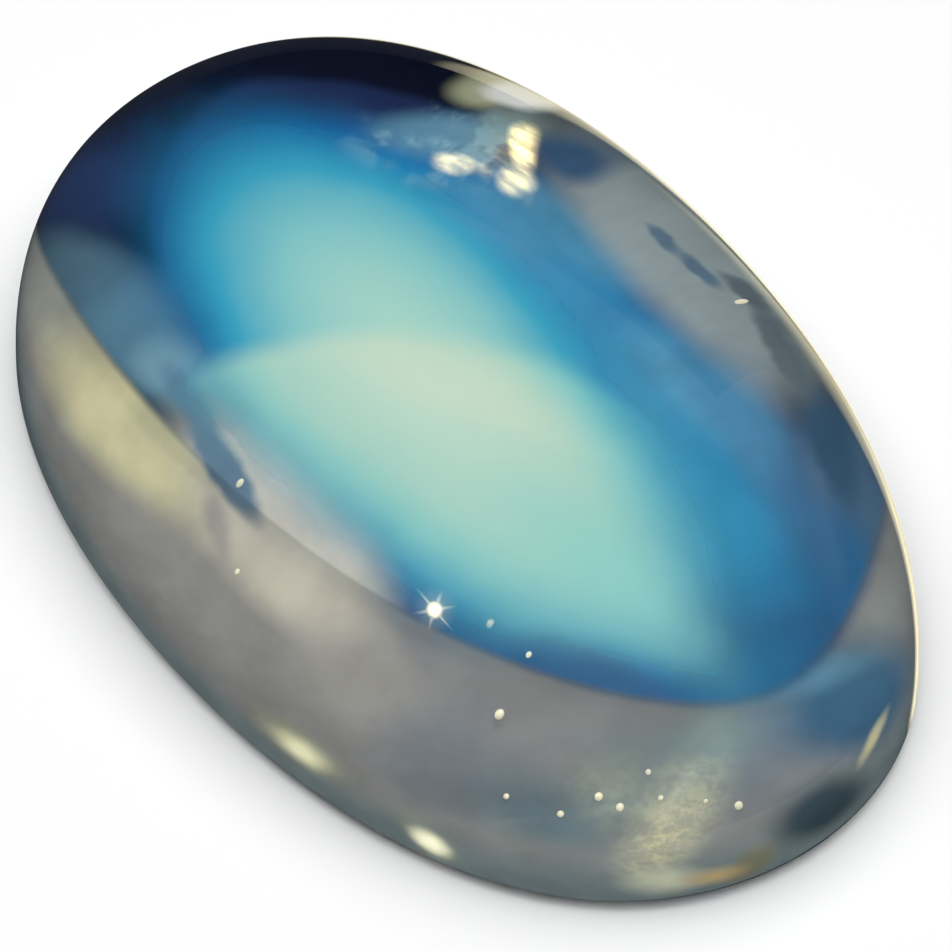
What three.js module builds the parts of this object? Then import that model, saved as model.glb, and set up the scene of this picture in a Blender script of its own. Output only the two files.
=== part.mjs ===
import * as THREE from "three";

// A moonstone cabochon: one piece of clear feldspar, ground and polished to a high oval dome on a
// flat base. Millimetres, +Z up. The origin is the middle of the flat base, +X runs along the
// stone's length and +Y across it.

const LENGTH = 15.6; // across the girdle, along X
const WIDTH = 10; // across the girdle, along Y
const HEIGHT = 5; // from the flat base to the top of the dome
const BEVEL = 0.22; // height and depth of the bevel round the edge of the base
const GIRDLE = 0.14; // height of the upright band between the bevel and the dome
const PLAN_BULGE = 0.029; // how far the oval stands out of an ellipse between its axes, as a share
const DOME_BULGE = 0.045; // how far the dome stands out of an ellipse on its shoulder, as a share
const AROUND = 112; // facets round the stone
const DOME_STEPS = 24; // facets from the girdle to the top

const polished = new THREE.MeshStandardMaterial({
  name: "moonstone",
  color: new THREE.Color(0.58, 0.76, 0.83),
  roughness: 0.04,
  metalness: 0,
  transparent: true,
  opacity: 0.75,
});

// How much larger than an ellipse's the radius is at this angle from one of its axes.
function bulge(angle, share) {
  return 1 + share * Math.sin(2 * angle) ** 2;
}

// Half of the stone's section across its width, from the middle of the base to the top of the dome.
function halfSection() {
  const half = WIDTH / 2;
  const domeFoot = BEVEL + GIRDLE;
  const points = [
    new THREE.Vector2(0, 0),
    new THREE.Vector2(half - BEVEL, 0),
    new THREE.Vector2(half, BEVEL),
  ];
  for (let step = 0; step < DOME_STEPS; step++) {
    const rise = (step / DOME_STEPS) * (Math.PI / 2);
    const reach = half * Math.cos(rise) * bulge(rise, DOME_BULGE);
    const lift = (HEIGHT - domeFoot) * Math.sin(rise) * bulge(rise, DOME_BULGE);
    points.push(new THREE.Vector2(reach, domeFoot + lift));
  }
  points.push(new THREE.Vector2(0, HEIGHT));
  return points;
}

// The section is turned into a round stone, and each of its rings is then drawn out to the oval.
function cabochonGeometry() {
  const geometry = new THREE.LatheGeometry(halfSection(), AROUND);
  geometry.rotateX(Math.PI / 2);
  const position = geometry.getAttribute("position");
  for (let i = 0; i < position.count; i++) {
    const bearing = Math.atan2(position.getY(i), position.getX(i));
    const fuller = bulge(bearing, PLAN_BULGE);
    const along = (LENGTH / WIDTH) * position.getX(i) * fuller;
    const across = position.getY(i) * fuller;
    position.setXY(i, along, across);
  }
  geometry.computeVertexNormals();
  return geometry;
}

const stone = new THREE.Group();
const moonstone = new THREE.Mesh(cabochonGeometry(), polished);
moonstone.name = "moonstone";
stone.add(moonstone);

export default stone;
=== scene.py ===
"""An oval moonstone cabochon with a blue to cream glow inside, lying on a pale studio floor.

Sizes are in metres, and in millimetres in the tables of ovals. The stone's flat base lies on the
floor, its length runs along X.
"""

import math

import bpy
from bpy.props import FloatProperty, FloatVectorProperty, PointerProperty
from mathutils import Matrix, Vector


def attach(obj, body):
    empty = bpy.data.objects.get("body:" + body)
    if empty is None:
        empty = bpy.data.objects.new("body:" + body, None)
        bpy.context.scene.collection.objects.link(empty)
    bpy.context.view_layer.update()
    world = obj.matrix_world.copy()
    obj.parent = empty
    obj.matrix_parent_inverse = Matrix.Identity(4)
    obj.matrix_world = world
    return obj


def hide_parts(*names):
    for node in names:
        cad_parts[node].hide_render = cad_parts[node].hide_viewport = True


bl_info = {
    "name": "Moonstone cabochon",
    "version": (1, 0, 0),
    "blender": (4, 5, 0),
    "location": "3D view > Sidebar > Moonstone",
    "description": "Builds an oval moonstone cabochon and its studio",
    "category": "Object",
}

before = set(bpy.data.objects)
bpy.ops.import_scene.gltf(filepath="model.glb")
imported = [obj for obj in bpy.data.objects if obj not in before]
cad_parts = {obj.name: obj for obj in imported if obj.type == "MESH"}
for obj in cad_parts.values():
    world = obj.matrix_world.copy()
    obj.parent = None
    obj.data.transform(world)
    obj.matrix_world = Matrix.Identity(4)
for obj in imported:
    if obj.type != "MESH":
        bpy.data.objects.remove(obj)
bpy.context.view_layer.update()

MM = 0.001

# Meshes
AROUND = 240  # points round each ring of the stone
DOME_RINGS = 72  # rings from the girdle to the top
SHADE_AND_SHEEN_REACHES = (0.975, 0.7, 0.45, 0.2)  # of the rings of the sheet of painted shade and sheen, as shares of the stone's own
GLOW_RINGS = 24
GLOW_REACH = 0.93  # of the glow's rim, as a share of the stone's own
SMOOTH_ANGLE = 25  # degrees between two faces, up to which they shade as one

# Stage
LIGHT_DISTANCE = 0.5  # from the stone to the lights
KEY_WIDTH = 62  # degrees, as seen from the stone
CARD_WIDTH = 60  # of a glowing card, in degrees as seen from the stone
FLOOR_DROP = 0.03 * MM  # keeps the floor off the stone's base
SENSOR_WIDTH = 36  # of the camera, in mm
LENS = 641.7  # in mm
CAMERA_DISTANCE = 234.0 * MM
CAMERA_TO_RIGHT = 0.1646 * MM  # of the line to the stone's middle
CAMERA_BELOW = 1.111 * MM  # the line to the stone's middle

# The studio light that comes back out of a layer painted inside the stone.
LIGHT_IN = 0.73
TURNED_BACK = 0.05  # share of a layer's light that the dome turns back onto it
WHITEST = 0.97  # the most of its light that a layer gives back

# Optics and light of the stone's own
FELDSPAR_IOR = 1.52
MATT = 0.9  # roughness of the sheet of painted shade and sheen, the glow and the floor
SPECK_LIGHT = 0.35
GLINT_COLOUR = (1.0, 0.92, 0.62)
SPECK_COLOUR = (1.0, 0.92, 0.68)

# Tables of soft ovals: colour as seen, middle, half length and half width in mm, turn in degrees,
# the share of the oval that is at full strength, and that strength.

# Near side: painted reflection in pale and grey patches, painted shade and sheen in slate and blue at
# the right end, painted cream and gold glint at the rim
NEAR_REFLECTION_AND_SHADE = (
    ("#9fa197", (-5.1, -1.6), (1.0, 0.6), 0, 0.2, 0.9),
    ("#f6d8a8", (-3.0, -1.9), (2.5, 0.85), 0, 0.3, 1.0),
    ("#989794", (-0.8, -2.9), (2.4, 1.0), 0, 0.2, 0.9),
    ("#d8d0bb", (-0.1, -1.75), (2.6, 0.7), 0, 0.3, 1.0),
    ("#9f9b96", (1.9, -2.1), (1.6, 0.9), 0, 0.2, 0.9),
    ("#787f87", (3.4, -2.1), (1.5, 1.2), 10, 0.2, 0.9),
    ("#969490", (3.9, -0.9), (1.3, 0.6), 30, 0.2, 0.9),
    ("#66797f", (4.7, -1.7), (1.3, 0.9), 20, 0.2, 0.9),
    ("#8c9c94", (4.9, 0.2), (0.6, 0.7), 0, 0.2, 0.8),
    ("#36474f", (6.7, 0.7), (0.9, 1.0), 0, 0.3, 0.95),
    ("#3b6280", (5.3, 1.7), (1.1, 1.2), 0, 0.3, 0.95),
    ("#6e9ab2", (4.7, 1.3), (0.35, 0.9), -12, 0.2, 0.85),
    ("#8b866e", (7.1, -0.5), (0.7, 0.45), -50, 0.3, 0.9),
    ("#fbf0c4", (6.72, -1.55), (0.75, 0.6), 63, 0.0, 1.0),
    ("#e2bf88", (7.0, -1.0), (0.65, 0.4), 66, 0.0, 0.9),
)

# Grainy olive fan near the right end, without a strength of its own
OLIVE_PATCHES = (
    ("#a3a994", (4.9, -0.8), (1.1, 0.9), 0, 0.0),
    ("#dcd6aa", (5.7, -0.8), (1.85, 0.62), -53, 0.1),
    ("#dfdbb4", (5.3, -0.45), (0.7, 0.14), -60, 0.1),
)

# Far side of the sheet, painted shade and sheen: the ends of the blue middle, the pale strip of
# painted light beyond it and the near rim
FAR_SHADE_AND_SHEEN = (
    ("#2e587d", (5.0, 1.7), (2.3, 2.2), 0, 0.45, 0.95),
    ("#26375c", (-5.9, -0.5), (1.0, 0.9), 0, 0.2, 0.8),
    ("#456070", (-4.9, -1.2), (1.5, 0.5), 0, 0.4, 0.95),
    ("#4d7286", (-4.0, -1.2), (1.2, 0.6), 0, 0.3, 0.95),
    ("#7096a4", (-3.2, -1.25), (0.9, 0.45), 0, 0.2, 0.95),
    ("#cfc8b6", (-0.6, -1.5), (2.7, 0.75), 0, 0.4, 1.0),
    ("#5693ae", (-2.4, 1.95), (1.4, 0.5), 8, 0.2, 0.8),
    ("#5290ae", (1.1, 2.4), (1.8, 0.45), 0, 0.2, 0.85),
    ("#3590b4", (2.6, 1.75), (1.9, 1.1), 0, 0.0, 0.85),
    ("#4a86a5", (-1.7, 2.5), (1.9, 0.42), 6, 0.3, 0.9),
    ("#3f7ba0", (1.6, 2.55), (2.0, 0.4), -6, 0.3, 0.85),
    ("#2f6189", (3.4, 2.5), (1.7, 0.55), -14, 0.3, 0.95),
    ("#8f9b9c", (-0.8, 2.97), (3.2, 0.5), 0, 0.4, 0.95),
    ("#5d8ba3", (-3.85, 2.15), (1.0, 0.42), 35, 0.3, 0.9),
    ("#a3a585", (-4.12, 2.66), (0.5, 0.24), 20, 0.3, 0.95),
    ("#7c8b85", (-3.5, 2.68), (0.5, 0.26), 20, 0.3, 0.8),
    ("#33506f", (-2.72, 2.88), (0.65, 0.24), 8, 0.3, 0.95),
    ("#46627a", (3.0, 2.9), (1.7, 0.45), -8, 0.3, 0.95),
    ("#34597f", (3.25, -0.5), (2.3, 0.55), 26, 0.5, 0.97),
    ("#2a648c", (4.4, 0.9), (0.6, 1.1), 0, 0.2, 0.8),
)

# Thin cracks at the left and along the far edge, then painted glints and highlights at the edges
CRACKS_AND_GLINTS = (
    ("#587388", (-2.75, -1.34), (0.85, 0.17), -5, 0.4, 0.85),
    ("#5d7587", (-1.65, -1.56), (1.15, 0.2), -7, 0.5, 0.95),
    ("#8b888c", (-1.15, -1.98), (0.65, 0.2), -20, 0.2, 0.6),
    ("#647b88", (-0.75, 3.02), (0.85, 0.05), 4, 0.4, 0.6),
    ("#536c7e", (-1.08, 3.0), (0.33, 0.06), 3, 0.4, 0.9),
    ("#536c7e", (-0.43, 3.04), (0.42, 0.055), 2, 0.4, 0.9),
    ("#58656c", (0.0, 3.13), (0.45, 0.05), 2, 0.4, 0.9),
    ("#58656c", (1.0, 3.06), (1.2, 0.08), -6, 0.4, 0.9),
    ("#34526c", (2.4, 2.86), (1.0, 0.14), -13, 0.4, 0.9),
    ("#b9b892", (2.05, -3.7), (1.15, 0.6), 8, 0.0, 0.8),
    ("#fff0b6", (2.15, -3.75), (0.72, 0.46), 8, 0.0, 1.0),
    ("#a9b096", (4.4, -3.5), (0.9, 0.45), -16, 0.0, 0.8),
    ("#fff6c4", (4.45, -3.54), (0.56, 0.36), -16, 0.1, 1.0),
    ("#d6cea2", (5.95, 1.68), (0.6, 0.13), -42, 0.2, 0.95),
    ("#fffbda", (-3.9, 2.75), (0.46, 0.11), 20, 0.4, 1.0),
)

# Light that the dome gathers in two spots of the near edge: middle, half sizes, turn, core, strength
GATHERED_LIGHT = (
    ((2.15, -3.75), (0.62, 0.42), 8, 0.0, 0.4),
    ((4.45, -3.54), (0.5, 0.33), -16, 0.1, 0.75),
)

# Colours from one end of a change to the other: place and colour as seen
# Painted sheen of the far side's blue middle, from the painted shade at its edge in
MIDDLE_COLOURS = (
    (0.0, "#202a4c"),
    (0.05, "#212f52"),
    (0.17, "#1f4a7f"),
    (0.35, "#2674a5"),
    (0.7, "#4490b2"),
    (1.0, "#4a97b5"),
)
# Painted sheen of the glow's two lobes, from their edges in
FAR_LOBE_COLOURS = (
    (0.0, "#1d4f86"),
    (0.25, "#1278b0"),
    (0.5, "#3aa0bd"),
    (0.75, "#80c3c4"),
    (1.0, "#a9d7c6"),
)
NEAR_LOBE_COLOURS = (
    (0.0, "#235f93"),
    (0.25, "#4db5bb"),
    (0.5, "#88cdc3"),
    (0.75, "#a9d3c2"),
    (1.0, "#bcdcc8"),
)

# Single ovals of the sheet of painted shade and sheen: middle, half sizes, turn
STONE_OUTLINE = ((0, 0), (7.8, 5.0))
LOOKED_THROUGH = ((-2.14, 1.14), (6.86, 2.79))  # where the base doesn't mirror
FAR_END = ((-9.0, 6.5), (8.6, 7.4), -20)
BLUE_MIDDLE = ((-0.25, 0.75), (5.9, 2.35))
RIGHT_GROUND = ((4.6, 1.2), (4.0, 3.4), 0)
FROSTED = ((-3.7, 1.95), (1.3, 0.8), 40)

# Single ovals of the glow: middle, half sizes, turn
FAR_LOBE = ((-0.65, -0.3), (6.3, 2.53), -1)
NEAR_LOBE = ((-0.35, -0.57), (13.7, 4.28), 4.4)
CREAM_CORE = ((0.3, -0.3), (2.7, 1.0), 18)
CREAM_RIDGE = ((-4.72, 10.26), (12.0, 12.0))
CRISP_EDGE = ((5.14, -6.46), (8.6, 8.6))
TAIL = ((3.5, -0.22), (2.6, 0.8), 13)
GAP = ((4.7, -1.2), (2.6, 0.8), 41)

# Pinpoint inclusions: place along and across the stone, and radius, in mm
SPECKS = (
    (4.3, -2.0, 0.035),
    (4.9, -1.7, 0.04),
    (4.92, -1.2, 0.045),
    (5.2, -1.12, 0.045),
    (6.0, -0.1, 0.05),
    (3.3, -1.33, 0.05),
    (2.3, -0.8, 0.04),
    (-1.3, -1.64, 0.04),
    (0.22, 3.1, 0.035),
    (4.95, -0.6, 0.03),
    (-0.4, -2.3, 0.03),
    (2.9, -0.72, 0.03),
    (5.35, -0.7, 0.03),
    (5.7, -0.35, 0.025),
)

# Reflections on the polish: middle and half sizes in degrees, turn, core, radiance
WINDOW = (
    ((3.8, 1.5), (1.7, 19.0), 2.5, 0.15, 26.0),
    ((2.5, 13.6), (7.6, 2.1), 106, 0.15, 26.0),
    ((-4.2, 17.6), (5.6, 2.5), 123, 0.15, 26.0),
    ((-1.0, 15.5), (4.0, 1.6), 110, 0.1, 7.0),
    ((2.2, 8.0), (3.4, 13.0), 8, 0.0, 4.5),
    ((0.5, 10.0), (8.0, 14.0), 8, 0.0, 0.9),
)
STAR = (
    ((0, 0), (4.6, 1.9), 90, 0.2, 40.0),
    ((0, 0), (5.6, 0.9), 22, 0.0, 17.0),
    ((0, 0), (9.5, 0.7), 82, 0.0, 17.0),
    ((0, 0), (8.5, 0.7), 109, 0.0, 16.0),
    ((0, 0), (11.0, 4.4), 90, 0.0, 3.5),
)

# The room: azimuth right of the camera's forward direction, half widths where a patch fades in and
# is full (none where it goes all round), the heights where it starts, is full, fades and ends (the
# first two where it goes up to the zenith), all in degrees, and radiance.
DIM_ROOM = (0.02, 0.022, 0.027)
ROOM_PATCHES = (
    (20, None, (35, 80), (0.12, 0.12, 0.12)),
    (35, (48, 28), (2, 14, 35, 50), (0.34, 0.32, 0.27)),
    (12, (15, 11), (-75, -60, -44, -37), (0.85, 0.77, 0.5)),
    (23, (8, 5), (-60, -48, -36, -22), (0.85, 0.77, 0.5)),
    (9.5, (4, 2), (-60, -40, -6, 2), (0.75, 0.68, 0.46)),
)


def linear(code):
    """The linear colour of a hexadecimal display colour."""
    values = []
    for start in (1, 3, 5):
        value = int(code[start:start + 2], 16) / 255
        values.append(value / 12.92 if value <= 0.04045 else ((value + 0.055) / 1.055) ** 2.4)
    return tuple(values)


def paint(seen):
    """The colour of a layer inside the stone that shows as the given colour through the dome."""
    return tuple(min(WHITEST, value / (LIGHT_IN + TURNED_BACK * value)) for value in seen[:3])


def shown(code):
    """The same for a hexadecimal display colour."""
    return paint(linear(code))


def bulge(angle, share):
    """How much larger than an ellipse's a radius is at this angle from one of its axes."""
    return 1 + share * math.sin(2 * angle) ** 2


def deselect_all():
    """Leaves edit mode and selects nothing, so that an operator acts on what comes next alone."""
    if bpy.context.object and bpy.context.object.mode != "OBJECT":
        bpy.ops.object.mode_set(mode="OBJECT")
    bpy.ops.object.select_all(action="DESELECT")


def finish_piece(piece, name, material):
    """Names a piece, gives it its material and ties it to the stone's one body."""
    if not piece.data.polygons:
        raise RuntimeError(f"{name} has no faces")
    piece.name = name
    piece.data.name = name
    piece.data.materials.clear()
    piece.data.materials.append(material)
    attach(piece, "root")
    return piece


def turned_piece(stone, rings, closed_foot, top):
    """A round surface drawn up ring by ring, then drawn out to the stone's oval.

    Each ring is its reach across the stone and its height. The top closes at a point.
    """
    deselect_all()
    reach, height = rings[0]
    bpy.ops.mesh.primitive_circle_add(vertices=AROUND, radius=reach, fill_type="NOTHING")
    piece = bpy.context.object
    bpy.ops.object.mode_set(mode="EDIT")
    bpy.ops.mesh.select_all(action="SELECT")
    bpy.ops.transform.translate(value=(0, 0, height))
    if closed_foot:
        bpy.ops.mesh.edge_face_add()
    for next_reach, next_height in rings[1:]:
        share = next_reach / reach
        bpy.ops.mesh.extrude_edges_move(TRANSFORM_OT_translate={"value": (0, 0, next_height - height)})
        bpy.ops.transform.resize(value=(share, share, 1), center_override=(0, 0, next_height))
        reach, height = next_reach, next_height
    bpy.ops.mesh.extrude_edges_move(TRANSFORM_OT_translate={"value": (0, 0, top - height)})
    bpy.ops.mesh.merge(type="CENTER")
    bpy.ops.mesh.select_all(action="SELECT")
    bpy.ops.transform.resize(value=(stone.length / stone.width, 1, 1), center_override=(0, 0, 0))
    bpy.ops.mesh.normals_make_consistent(inside=False)
    bpy.ops.object.mode_set(mode="OBJECT")
    for vertex in piece.data.vertices:
        bearing = math.atan2(vertex.co.y, vertex.co.x * stone.width / stone.length)
        fuller = bulge(bearing, stone.plan_bulge)
        vertex.co.x *= fuller
        vertex.co.y *= fuller
    bpy.ops.object.shade_smooth_by_angle(angle=math.radians(SMOOTH_ANGLE))
    return piece


def face_up(piece):
    """Turns an open surface's faces to look up."""
    total = sum(face.normal.z * face.area for face in piece.data.polygons)
    if total < 0:
        piece.data.flip_normals()


class Nodes:
    """A tree of shader nodes, with short ways to add and join them."""

    def __init__(self, tree):
        self.tree = tree

    def add(self, kind, **settings):
        """A new node with its settings."""
        node = self.tree.nodes.new(kind)
        for key, value in settings.items():
            setattr(node, key, value)
        return node

    def join(self, source, target):
        """A link from one node's output to another's input."""
        self.tree.links.new(source, target)

    def maths(self, operation, first, second):
        """A sum on two values, each a number or a node's output."""
        node = self.add("ShaderNodeMath", operation=operation)
        for socket, value in zip(node.inputs, (first, second)):
            if isinstance(value, (int, float)):
                socket.default_value = value
            else:
                self.join(value, socket)
        return node.outputs[0]

    def fall(self, source, near, far, at_near, at_far):
        """A smooth change from one value to another between two distances."""
        node = self.add("ShaderNodeMapRange", interpolation_type="SMOOTHSTEP")
        self.join(source, node.inputs["Value"])
        node.inputs["From Min"].default_value = near
        node.inputs["From Max"].default_value = far
        node.inputs["To Min"].default_value = at_near
        node.inputs["To Max"].default_value = at_far
        return node.outputs["Result"]


class Paint(Nodes):
    """A material on the shader nodes, built up layer by layer on the stone's own coordinates."""

    def __init__(self, name):
        self.material = bpy.data.materials.new(name)
        self.material.use_nodes = True
        super().__init__(self.material.node_tree)
        self.shader = self.tree.nodes["Principled BSDF"]
        self.place = self.add("ShaderNodeTexCoord").outputs["Object"]

    def make_matt(self):
        """Takes all gloss off the surface."""
        self.shader.inputs["Specular IOR Level"].default_value = 0.0
        self.shader.inputs["Roughness"].default_value = MATT

    def shine(self, colour, strength):
        """Gives the surface light of its own, which doesn't count as a lamp."""
        self.shader.inputs["Emission Color"].default_value = (*colour, 1)
        if isinstance(strength, float):
            self.shader.inputs["Emission Strength"].default_value = strength
        else:
            self.join(strength, self.shader.inputs["Emission Strength"])
        self.material.cycles.emission_sampling = "NONE"

    def noise(self, size, detail, roughness=0.5):
        """Clouds of about this size."""
        node = self.add("ShaderNodeTexNoise")
        self.join(self.place, node.inputs["Vector"])
        node.inputs["Scale"].default_value = 1 / size
        node.inputs["Detail"].default_value = detail
        node.inputs["Roughness"].default_value = roughness
        return node

    def wander(self, size, reach):
        """Moves every later layer's outline about a little, as nothing in a crystal is exact."""
        cloud = self.noise(size, 1)
        shift = self.add("ShaderNodeVectorMath", operation="MULTIPLY_ADD")
        self.join(cloud.outputs["Color"], shift.inputs[0])
        shift.inputs[1].default_value = (2 * reach, 2 * reach, 0)
        shift.inputs[2].default_value = (-reach, -reach, 0)
        moved = self.add("ShaderNodeVectorMath", operation="ADD")
        self.join(self.place, moved.inputs[0])
        self.join(shift.outputs[0], moved.inputs[1])
        self.place = moved.outputs[0]

    def from_oval(self, centre, radii, turn=0):
        """Distance from an oval's middle, which is 1 on its outline. Centre and radii in mm."""
        lean = math.radians(turn)
        rows = (
            (math.cos(lean) / radii[0], math.sin(lean) / radii[0]),
            (-math.sin(lean) / radii[1], math.cos(lean) / radii[1]),
        )
        moved = [-(row[0] * centre[0] + row[1] * centre[1]) for row in rows]
        if turn == 0:
            local = self.add("ShaderNodeVectorMath", operation="MULTIPLY_ADD")
            self.join(self.place, local.inputs[0])
            local.inputs[1].default_value = (rows[0][0] / MM, rows[1][1] / MM, 0)
            local.inputs[2].default_value = (*moved, 0)
        else:
            pair = self.add("ShaderNodeCombineXYZ")
            for row, socket in zip(rows, pair.inputs):
                along = self.add("ShaderNodeVectorMath", operation="DOT_PRODUCT")
                self.join(self.place, along.inputs[0])
                along.inputs[1].default_value = (row[0] / MM, row[1] / MM, 0)
                self.join(along.outputs["Value"], socket)
            local = self.add("ShaderNodeVectorMath", operation="ADD")
            self.join(pair.outputs[0], local.inputs[0])
            local.inputs[1].default_value = (*moved, 0)
        length = self.add("ShaderNodeVectorMath", operation="LENGTH")
        self.join(local.outputs["Vector"], length.inputs[0])
        return length.outputs["Value"]

    def soft_oval(self, centre, radii, turn=0, core=0.2, strength=1.0):
        """Full strength inside an oval's core, and none on its outline."""
        return self.fall(self.from_oval(centre, radii, turn), core, 1.0, strength, 0.0)

    def over(self, below, above, cover):
        """One colour over another, as strongly as the cover says."""
        node = self.add("ShaderNodeMix", data_type="RGBA", blend_type="MIX")
        self.join(cover, node.inputs[0])
        for socket, value in ((node.inputs[6], below), (node.inputs[7], above)):
            if isinstance(value, tuple):
                socket.default_value = (*value[:3], 1)
            else:
                self.join(value, socket)
        return node.outputs[2]

    def patches(self, below, table):
        """The soft ovals of a table laid over a colour, one by one."""
        for code, centre, radii, turn, core, strength in table:
            cover = self.soft_oval(centre, radii, turn, core, strength)
            below = self.over(below, shown(code), cover)
        return below

    def brightest(self, table):
        """The strengths of a table's soft ovals, and the stronger one where two meet."""
        total = None
        for centre, radii, turn, core, strength in table:
            spot = self.soft_oval(centre, radii, turn, core, strength)
            total = spot if total is None else self.maths("MAXIMUM", total, spot)
        return total

    def rest(self, share):
        """What a share leaves of the whole."""
        return self.maths("SUBTRACT", 1.0, share)

    def ramp(self, source, stops):
        """A change through a table of colours as a value goes from 0 to 1."""
        node = self.add("ShaderNodeValToRGB")
        self.join(source, node.inputs["Fac"])
        ramp = node.color_ramp
        ramp.interpolation = "LINEAR"
        while len(ramp.elements) < len(stops):
            ramp.elements.new(0.5)
        for element, (position, code) in zip(ramp.elements, stops):
            element.position = position
            element.color = (*shown(code), 1)
        return node.outputs["Color"]

    def seen_from_above_only(self, opacity):
        """A sheen that shows to the viewer's side and not from under it."""
        geometry = self.add("ShaderNodeNewGeometry")
        return self.maths("MULTIPLY", opacity, self.rest(geometry.outputs["Backfacing"]))


def clear_stone_material(stone):
    """Clear polished feldspar, a little milkier in clouds."""
    made = Paint("clear feldspar")
    made.shader.inputs["IOR"].default_value = FELDSPAR_IOR
    made.shader.inputs["Transmission Weight"].default_value = 1.0
    made.shader.inputs["Roughness"].default_value = 0.0
    cloud = made.noise(1.1 * MM, 1)
    tint = made.over(tuple(stone.body_clear), tuple(stone.body_milky), cloud.outputs["Fac"])
    made.join(tint, made.shader.inputs["Base Color"])
    return made.material


def near_side(made, outline, inside):
    """The near side, where the base turns back what lies beyond the stone: painted reflection in grey
    and warm tones, with painted shade and glints.
    """
    # Painted shade and reflection: the near side's grey, darker and bluer towards the edge
    rim = made.fall(outline, 0.76, 0.94, 0.0, 0.9)
    colour = made.over(paint(inside.mirrored_shade), paint(inside.mirrored_rim_shade), rim)
    colour = made.patches(colour, NEAR_REFLECTION_AND_SHADE)
    grain = made.noise(0.2 * MM, 3, 0.7)
    flecks = made.fall(grain.outputs["Fac"], 0.35, 0.65, 0.4, 0.95)
    for code, centre, radii, turn, core in OLIVE_PATCHES:
        cover = made.maths("MULTIPLY", made.soft_oval(centre, radii, turn, core), flecks)
        colour = made.over(colour, shown(code), cover)
    return colour


def far_side(made, inside):
    """The far side, where the base is looked through: painted shade round a blue middle of painted
    sheen.
    """
    # Painted shade: a dark crescent round the far side, turning blue at the right end
    right = made.soft_oval(*RIGHT_GROUND, 0.5)
    ground = made.over(paint(inside.crescent), paint(inside.right_blue), right)
    # Painted sheen: the blue middle, darker towards its edge
    from_middle = made.from_oval(*BLUE_MIDDLE)
    blue = made.ramp(made.fall(from_middle, 0.3, 0.99, 1.0, 0.0), MIDDLE_COLOURS)
    colour = made.over(ground, blue, made.fall(from_middle, 0.94, 0.98, 1.0, 0.0))
    colour = made.patches(colour, FAR_SHADE_AND_SHEEN)
    grain = made.noise(0.4 * MM, 3, 0.7)
    frost = made.fall(grain.outputs["Fac"], 0.45, 0.65, 0.0, 0.7)
    cover = made.maths("MULTIPLY", frost, made.soft_oval(*FROSTED, 0.4))
    return made.over(colour, paint(inside.frost), cover)


def shade_and_sheen_material(inside):
    """A sheet low in the stone: painted shade and blue sheen where the base is looked through, painted
    reflection in grey and warm tones along the near side, with cracks and painted glints over both."""
    made = Paint("haze")
    made.make_matt()
    steady = made.place
    outline = made.from_oval(*STONE_OUTLINE)
    middle = made.fall(made.from_oval(*LOOKED_THROUGH), 0.985, 1.02, 1.0, 0.0)
    far_end = made.fall(made.from_oval(*FAR_END), 0.94, 1.02, 1.0, 0.0)
    through = made.maths("MAXIMUM", middle, far_end)
    made.wander(1.4 * MM, 0.14 * MM)
    near = near_side(made, outline, inside)
    far = far_side(made, inside)
    colour = made.over(near, far, through)
    made.place = steady
    made.wander(0.25 * MM, 0.03 * MM)
    # Cracks, then painted glints and highlights at the edges
    colour = made.patches(colour, CRACKS_AND_GLINTS)
    made.shine(GLINT_COLOUR, made.brightest(GATHERED_LIGHT))
    made.place = steady
    cloud = made.noise(0.9 * MM, 3, 0.65)
    uneven = made.fall(cloud.outputs["Fac"], 0.3, 0.7, 0.9, 1.07)
    shade = made.add("ShaderNodeVectorMath", operation="SCALE")
    made.join(colour, shade.inputs[0])
    made.join(uneven, shade.inputs["Scale"])
    made.join(shade.outputs["Vector"], made.shader.inputs["Base Color"])
    near_opacity = made.fall(outline, 0.6, 0.9, 0.65, 0.95)
    opacity = made.maths("MAXIMUM", near_opacity, made.maths("MULTIPLY", through, 0.98))
    made.join(opacity, made.shader.inputs["Alpha"])
    return made.material


def speck_material(inside):
    """Cream pinpoint inclusions with a little painted light of their own, bright enough to show
    through the sheet of painted shade and sheen.
    """
    made = Paint("speck")
    made.shader.inputs["Roughness"].default_value = 0.5
    cloud = made.noise(0.05 * MM, 2)
    tint = made.over(tuple(inside.speck_warm), tuple(inside.speck_pale), cloud.outputs["Fac"])
    made.join(tint, made.shader.inputs["Base Color"])
    made.shine(SPECK_COLOUR, SPECK_LIGHT)
    return made.material


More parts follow.
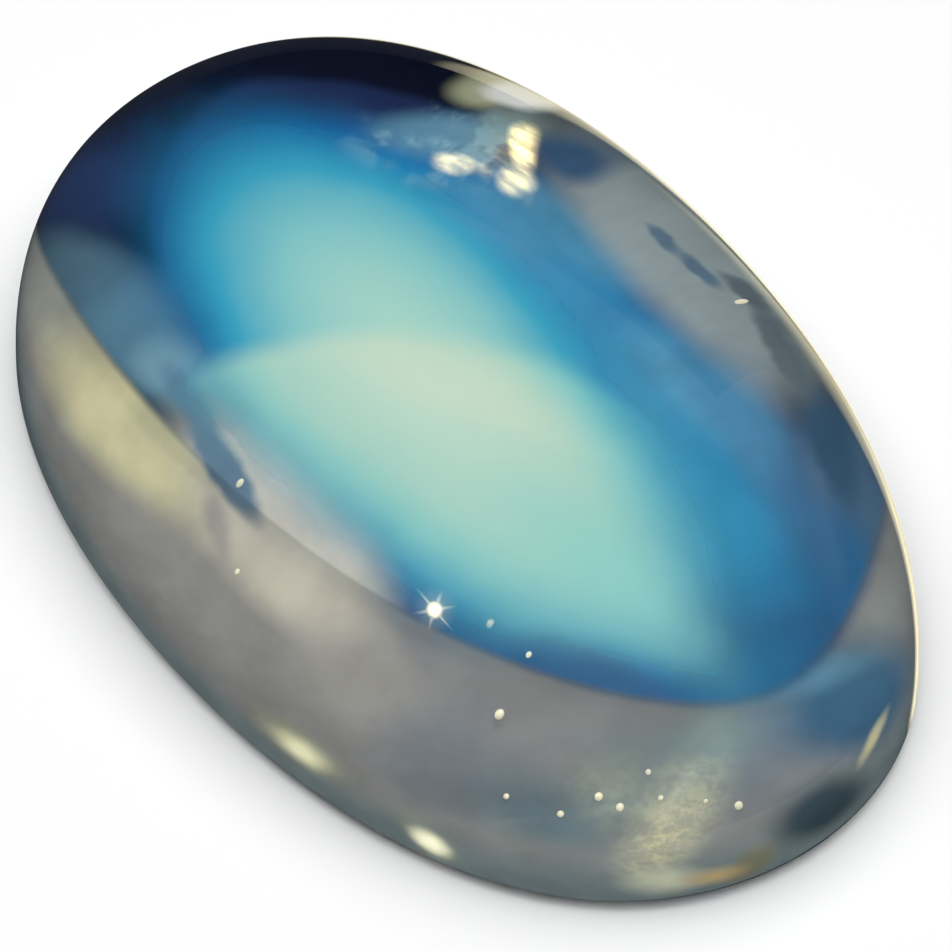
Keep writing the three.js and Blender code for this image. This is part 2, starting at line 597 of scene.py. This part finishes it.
def glow_material(inside):
    """The floating glow, the stone's sheen painted as fixed colour on a sheet: a blue lobe along the
    far side and a cream one across the near side, with a mint tail at the right and a gap that leaves
    a dark strip of painted shade under it."""
    made = Paint("glow")
    made.make_matt()
    made.wander(1.2 * MM, 0.1 * MM)
    far_light = made.maths("POWER", made.soft_oval(*FAR_LOBE, 0.0), 0.72)
    near_light = made.maths("POWER", made.soft_oval(*NEAR_LOBE, 0.0), 2.08)
    far_cover = made.fall(far_light, 0.0, 0.56, 0.0, 1.0)
    edge = made.fall(made.from_oval(*CRISP_EDGE), 0.97, 1.03, 1.0, 0.0)
    near_cover = made.maths("MULTIPLY", made.fall(near_light, 0.0, 0.78, 0.0, 1.0), edge)
    tail_cover = made.soft_oval(*TAIL, 0.0, 0.75)

    ridge = made.fall(made.from_oval(*CREAM_RIDGE), 0.985, 1.012, 1.0, 0.45)
    cream = made.maths("MULTIPLY", made.soft_oval(*CREAM_CORE, 0.1, 0.97), ridge)
    near_colour = made.over(made.ramp(near_light, NEAR_LOBE_COLOURS), paint(inside.cream), cream)
    colour = made.over(made.ramp(far_light, FAR_LOBE_COLOURS), near_colour, near_cover)
    colour = made.over(colour, paint(inside.mint), tail_cover)
    made.join(colour, made.shader.inputs["Base Color"])

    bare = made.maths("MULTIPLY", made.rest(far_cover), made.rest(near_cover))
    bare = made.maths("MULTIPLY", bare, made.rest(tail_cover))
    opacity = made.maths("MULTIPLY", made.rest(bare), 0.96)
    opacity = made.maths("MULTIPLY", opacity, made.rest(made.soft_oval(*GAP, 0.3, 0.9)))
    made.join(made.seen_from_above_only(opacity), made.shader.inputs["Alpha"])
    return made.material


class StoneSettings(bpy.types.PropertyGroup):
    """Sizes and tints of the clear stone"""

    length: FloatProperty(
        name="Length", description="Across the girdle, along X", default=0.0156, unit="LENGTH"
    )
    width: FloatProperty(
        name="Width", description="Across the girdle, along Y", default=0.010, unit="LENGTH"
    )
    height: FloatProperty(
        name="Height", description="From base to top", default=0.005, unit="LENGTH"
    )
    bevel: FloatProperty(
        name="Bevel", description="Height and depth of the bevel round the base",
        default=0.00022, unit="LENGTH"
    )
    girdle: FloatProperty(
        name="Girdle", description="Height of the upright band", default=0.00014, unit="LENGTH"
    )
    plan_bulge: FloatProperty(
        name="Plan bulge", description="How far the oval stands out of an ellipse, as a share",
        default=0.029
    )
    dome_bulge: FloatProperty(
        name="Dome bulge", description="How far the dome stands out of an ellipse, as a share",
        default=0.045
    )
    body_clear: FloatVectorProperty(
        name="Clear body", description="Tint of the clearest parts", subtype="COLOR", size=3,
        default=(0.97, 0.98, 0.98)
    )
    body_milky: FloatVectorProperty(
        name="Milky body", description="Tint of the milkier parts", subtype="COLOR", size=3,
        default=(0.93, 0.95, 0.96)
    )


class InsideSettings(bpy.types.PropertyGroup):
    """Heights and colours of what shows inside the stone"""

    shade_and_sheen_height: FloatProperty(
        name="Haze height", description="Of the haze over the base", default=0.00012, unit="LENGTH"
    )
    speck_height: FloatProperty(
        name="Speck height", description="Of the specks over the base", default=0.00026, unit="LENGTH"
    )
    glow_foot: FloatProperty(
        name="Glow foot", description="Height of the foot of the glow's dome", default=0.0009,
        unit="LENGTH"
    )
    glow_top: FloatProperty(
        name="Glow top", description="Height of the top of the glow's dome", default=0.0022,
        unit="LENGTH"
    )
    cream: FloatVectorProperty(
        name="Cream", description="Brightest part of the glow", subtype="COLOR", size=3,
        default=linear("#cbe3c6")
    )
    mint: FloatVectorProperty(
        name="Mint", description="Tail of the glow", subtype="COLOR", size=3,
        default=linear("#93d2c5")
    )
    # Painted shade where the base is looked through
    crescent: FloatVectorProperty(
        name="Crescent", description="Darkest part of the far side", subtype="COLOR", size=3,
        default=linear("#101525")
    )
    right_blue: FloatVectorProperty(
        name="Right blue", description="Ground of the far side's right end", subtype="COLOR", size=3,
        default=linear("#2b5680")
    )
    frost: FloatVectorProperty(
        name="Frost", description="Pale specks over the far blue", subtype="COLOR", size=3,
        default=linear("#86adb8")
    )
    # Painted shade and reflection of the near side and of its edge, where the base mirrors the room
    mirrored_shade: FloatVectorProperty(
        name="Mirrored shade", description="Ground of the near side", subtype="COLOR", size=3,
        default=linear("#8e8d8a")
    )
    mirrored_rim_shade: FloatVectorProperty(
        name="Mirrored rim shade", description="The near side towards its edge", subtype="COLOR", size=3,
        default=linear("#7d8b8d")
    )
    speck_warm: FloatVectorProperty(
        name="Warm speck", description="Warmer colour of the specks", subtype="COLOR", size=3,
        default=(0.9, 0.82, 0.5)
    )
    speck_pale: FloatVectorProperty(
        name="Pale speck", description="Paler colour of the specks", subtype="COLOR", size=3,
        default=(0.95, 0.9, 0.68)
    )


class StageSettings(bpy.types.PropertyGroup):
    """Floor, light and camera"""

    floor_size: FloatProperty(
        name="Floor", description="Side of the floor", default=1.6, unit="LENGTH"
    )
    key_radiance: FloatProperty(
        name="Key light", description="Radiance of the overhead light", default=4.4
    )
    camera_azimuth: FloatProperty(
        name="Camera azimuth", description="Turn of the camera round the stone", subtype="ANGLE",
        default=math.radians(54.3)
    )
    camera_elevation: FloatProperty(
        name="Camera elevation", description="Rise of the camera over the floor", subtype="ANGLE",
        default=math.radians(50.0)
    )


class MOONSTONE_OT_stone(bpy.types.Operator):
    """Build the clear polished stone"""

    bl_idname = "moonstone.stone"
    bl_label = "Clear stone"

    def execute(self, context):
        stone = context.scene.moonstone_stone
        half = stone.width / 2
        foot = stone.bevel + stone.girdle
        rings = [(half - stone.bevel, 0.0), (half, stone.bevel)]
        for step in range(DOME_RINGS):
            rise = step / DOME_RINGS * math.pi / 2
            reach = half * math.cos(rise) * bulge(rise, stone.dome_bulge)
            lift = (stone.height - foot) * math.sin(rise) * bulge(rise, stone.dome_bulge)
            rings.append((reach, foot + lift))
        piece = turned_piece(stone, rings, True, stone.height)
        finish_piece(piece, "moonstone_body", clear_stone_material(stone))
        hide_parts("moonstone")
        return {"FINISHED"}


class MOONSTONE_OT_shade_and_sheen(bpy.types.Operator):
    """Build the sheet of painted shade and sheen that lies low in the stone"""

    bl_idname = "moonstone.haze"
    bl_label = "Shade and sheen"

    def execute(self, context):
        stone = context.scene.moonstone_stone
        inside = context.scene.moonstone_inside
        height = inside.shade_and_sheen_height
        rings = [(share * stone.width / 2, height) for share in SHADE_AND_SHEEN_REACHES]
        piece = turned_piece(stone, rings, False, height)
        face_up(piece)
        finish_piece(piece, "haze", shade_and_sheen_material(inside))
        return {"FINISHED"}


class MOONSTONE_OT_glow(bpy.types.Operator):
    """Build the glow that floats in the middle of the stone"""

    bl_idname = "moonstone.glow"
    bl_label = "Glow"

    def execute(self, context):
        stone = context.scene.moonstone_stone
        inside = context.scene.moonstone_inside
        foot, top = inside.glow_foot, inside.glow_top
        rings = []
        for step in range(GLOW_RINGS):
            share = GLOW_REACH * (1 - step / GLOW_RINGS)
            rings.append((share * stone.width / 2, foot + (top - foot) * (1 - share ** 2)))
        piece = turned_piece(stone, rings, False, top)
        face_up(piece)
        # Every normal looks straight up, so the light falls on the whole sheet alike.
        piece.data.normals_split_custom_set_from_vertices([(0, 0, 1)] * len(piece.data.vertices))
        finish_piece(piece, "glow", glow_material(inside))
        return {"FINISHED"}


class MOONSTONE_OT_specks(bpy.types.Operator):
    """Build the pinpoint inclusions near the base"""

    bl_idname = "moonstone.specks"
    bl_label = "Specks"

    def execute(self, context):
        inside = context.scene.moonstone_inside
        deselect_all()
        balls = []
        for x, y, radius in SPECKS:
            bpy.ops.mesh.primitive_ico_sphere_add(
                subdivisions=2, radius=radius * MM, location=(x * MM, y * MM, inside.speck_height)
            )
            balls.append(context.object)
        for ball in balls:
            ball.select_set(True)
        context.view_layer.objects.active = balls[0]
        bpy.ops.object.join()
        bpy.ops.object.transform_apply(location=True, rotation=True, scale=True)
        piece = context.object
        bpy.ops.object.shade_smooth()
        finish_piece(piece, "specks", speck_material(inside))
        return {"FINISHED"}


def directions(stage):
    """The camera's forward and right directions along the floor."""
    azimuth = stage.camera_azimuth
    forward = Vector((-math.sin(azimuth), math.cos(azimuth), 0))
    right = Vector((math.cos(azimuth), math.sin(azimuth), 0))
    return forward, right


def toward(stage, azimuth, elevation):
    """A direction from the stone, by degrees right of the camera's forward one and up."""
    forward, right = directions(stage)
    turn, rise = math.radians(azimuth), math.radians(elevation)
    level = forward * math.cos(turn) + right * math.sin(turn)
    return level * math.cos(rise) + Vector((0, 0, math.sin(rise)))


def key_light(stage):
    """The wide soft light straight above the stone. It leaves no reflection on the polish."""
    data = bpy.data.lights.new("key", "AREA")
    data.shape = "SQUARE"
    data.size = 2 * LIGHT_DISTANCE * math.tan(math.radians(KEY_WIDTH / 2))
    data.energy = stage.key_radiance * math.pi * data.size ** 2
    key = bpy.data.objects.new("key", data)
    key.location = (0, 0, LIGHT_DISTANCE)
    key.visible_glossy = False
    bpy.context.collection.objects.link(key)


def glint_card(stage, name, azimuth, elevation, colour, shapes, mottle):
    """A glowing card, half a metre from the stone, that only shows as a reflection on the polish.

    Each shape is a soft oval in degrees from the card's middle, with a turn, a core and a radiance.
    Mottle is the share of the light that clouds take away.
    """
    degree = LIGHT_DISTANCE * math.tan(math.radians(1))
    deselect_all()
    bpy.ops.mesh.primitive_plane_add(size=CARD_WIDTH * degree)
    card = bpy.context.object
    card.name = name
    at = toward(stage, azimuth, elevation)
    turned = at.to_track_quat("Z", "Y").to_matrix().to_4x4()
    card.matrix_world = Matrix.Translation(at * LIGHT_DISTANCE) @ turned
    made = Paint(name)
    made.shader.inputs["Base Color"].default_value = (0, 0, 0, 1)
    made.shader.inputs["Specular IOR Level"].default_value = 0.0
    unit = degree / MM
    ovals = []
    for centre, radii, turn, core, radiance in shapes:
        middle = (-centre[0] * unit, centre[1] * unit)
        spread = (radii[0] * unit, radii[1] * unit)
        ovals.append((middle, spread, -turn, core, radiance))
    light = made.brightest(ovals)
    if mottle:
        cloud = made.noise(5 * degree, 4, 0.6)
        uneven = made.fall(cloud.outputs["Fac"], 0.35, 0.65, 1 - mottle, 1.0)
        light = made.maths("MULTIPLY", light, uneven)
    made.shine(colour, light)
    card.data.materials.append(made.material)
    card.visible_camera = False
    card.visible_diffuse = False
    card.visible_transmission = False
    card.visible_shadow = False


def room_patch(room, height, level, direction, around, rise, colour):
    """A soft patch of the room, by where it lies round the stone and how high."""
    sines = [math.sin(math.radians(angle)) for angle in rise]
    cover = room.fall(height, sines[0], sines[1], 0.0, 1.0)
    if len(sines) == 4:
        below_top = room.fall(height, sines[2], sines[3], 1.0, 0.0)
        cover = room.maths("MULTIPLY", cover, below_top)
    if around:
        outer, inner = (math.cos(math.radians(angle)) for angle in around)
        dot = room.add("ShaderNodeVectorMath", operation="DOT_PRODUCT")
        room.join(level, dot.inputs[0])
        dot.inputs[1].default_value = direction
        in_front = room.fall(dot.outputs["Value"], outer, inner, 0.0, 1.0)
        cover = room.maths("MULTIPLY", cover, in_front)
    scale = room.add("ShaderNodeVectorMath", operation="SCALE")
    scale.inputs[0].default_value = colour
    room.join(cover, scale.inputs["Scale"])
    return scale.outputs["Vector"]


def make_surroundings(stage):
    """A dim room that is lighter overhead, with a warm pale wall beyond the stone and warm strips
    low behind it, which show along the stone's right edge."""
    world = bpy.data.worlds.new("studio")
    bpy.context.scene.world = world
    world.cycles.sampling_method = "NONE"
    world.use_nodes = True
    room = Nodes(world.node_tree)
    direction = room.add("ShaderNodeTexCoord").outputs["Generated"]
    split = room.add("ShaderNodeSeparateXYZ")
    room.join(direction, split.inputs[0])
    flat = room.add("ShaderNodeVectorMath", operation="MULTIPLY")
    room.join(direction, flat.inputs[0])
    flat.inputs[1].default_value = (1, 1, 0)
    level = room.add("ShaderNodeVectorMath", operation="NORMALIZE")
    room.join(flat.outputs[0], level.inputs[0])
    total = DIM_ROOM
    for azimuth, around, rise, colour in ROOM_PATCHES:
        toward_it = toward(stage, azimuth, 0)
        patch = room_patch(room, split.outputs["Z"], level.outputs[0], toward_it, around, rise, colour)
        plus = room.add("ShaderNodeVectorMath", operation="ADD")
        if isinstance(total, tuple):
            plus.inputs[0].default_value = total
        else:
            room.join(total, plus.inputs[0])
        room.join(patch, plus.inputs[1])
        total = plus.outputs[0]
    background = world.node_tree.nodes["Background"]
    room.join(total, background.inputs["Color"])
    background.inputs["Strength"].default_value = 1.0


def make_floor(stage):
    """A pale matt floor, just under the stone's base."""
    deselect_all()
    bpy.ops.mesh.primitive_plane_add(size=stage.floor_size, location=(0, 0, 0))
    floor = bpy.context.object
    floor.name = "floor"
    floor.location = (0, 0, -FLOOR_DROP)
    made = Paint("floor")
    made.make_matt()
    cloud = made.noise(60 * MM, 2)
    tint = made.over((0.66, 0.66, 0.66), (0.68, 0.68, 0.68), cloud.outputs["Fac"])
    made.join(tint, made.shader.inputs["Base Color"])
    floor.data.materials.append(made.material)
    floor.visible_glossy = False


def make_camera(stage, stone):
    """A long lens that looks down on the middle of the stone."""
    forward, right = directions(stage)
    elevation = stage.camera_elevation
    back = -forward * math.cos(elevation) + Vector((0, 0, math.sin(elevation)))
    up = back.cross(right)
    middle = Vector((0, 0, stone.height / 2))
    at = middle + CAMERA_DISTANCE * back + CAMERA_TO_RIGHT * right - CAMERA_BELOW * up
    data = bpy.data.cameras.new("camera")
    data.sensor_width = SENSOR_WIDTH
    data.lens = LENS
    data.clip_start = 0.001
    data.clip_end = 10
    camera = bpy.data.objects.new("camera", data)
    turned = Matrix((right, up, back)).transposed().to_4x4()
    camera.matrix_world = Matrix.Translation(at) @ turned
    bpy.context.collection.objects.link(camera)
    bpy.context.scene.camera = camera


class MOONSTONE_OT_stage(bpy.types.Operator):
    """Set up the floor, the light and the camera"""

    bl_idname = "moonstone.stage"
    bl_label = "Studio"

    def execute(self, context):
        stage = context.scene.moonstone_stage
        make_floor(stage)
        make_surroundings(stage)
        key_light(stage)
        glint_card(stage, "window", 10, 12, (1.0, 0.83, 0.4), WINDOW, 0.7)
        glint_card(stage, "spark", -126, 40, (1.0, 0.86, 0.5), STAR, 0.0)
        make_camera(stage, context.scene.moonstone_stone)
        context.scene.view_settings.view_transform = "Standard"
        return {"FINISHED"}


class MOONSTONE_PT_panel(bpy.types.Panel):
    """The moonstone's pieces and sizes"""

    bl_idname = "MOONSTONE_PT_panel"
    bl_label = "Moonstone"
    bl_space_type = "VIEW_3D"
    bl_region_type = "UI"
    bl_category = "Moonstone"

    def draw(self, context):
        layout = self.layout
        scene = context.scene
        for settings in (scene.moonstone_stone, scene.moonstone_inside, scene.moonstone_stage):
            box = layout.box()
            for key in settings.bl_rna.properties.keys():
                if key not in ("rna_type", "name"):
                    box.prop(settings, key)
        for operator in PIECES:
            layout.operator(operator.bl_idname)


PIECES = (
    MOONSTONE_OT_stone,
    MOONSTONE_OT_shade_and_sheen,
    MOONSTONE_OT_glow,
    MOONSTONE_OT_specks,
    MOONSTONE_OT_stage,
)
CLASSES = (StoneSettings, InsideSettings, StageSettings, *PIECES, MOONSTONE_PT_panel)


def register():
    for item in CLASSES:
        bpy.utils.register_class(item)
    bpy.types.Scene.moonstone_stone = PointerProperty(type=StoneSettings)
    bpy.types.Scene.moonstone_inside = PointerProperty(type=InsideSettings)
    bpy.types.Scene.moonstone_stage = PointerProperty(type=StageSettings)


def unregister():
    del bpy.types.Scene.moonstone_stage
    del bpy.types.Scene.moonstone_inside
    del bpy.types.Scene.moonstone_stone
    for item in reversed(CLASSES):
        bpy.utils.unregister_class(item)


def main():
    """Builds the pieces and the stage in order."""
    register()
    bpy.ops.moonstone.stone()
    bpy.ops.moonstone.haze()
    bpy.ops.moonstone.glow()
    bpy.ops.moonstone.specks()
    bpy.ops.moonstone.stage()


if __name__ == "__main__":
    main()
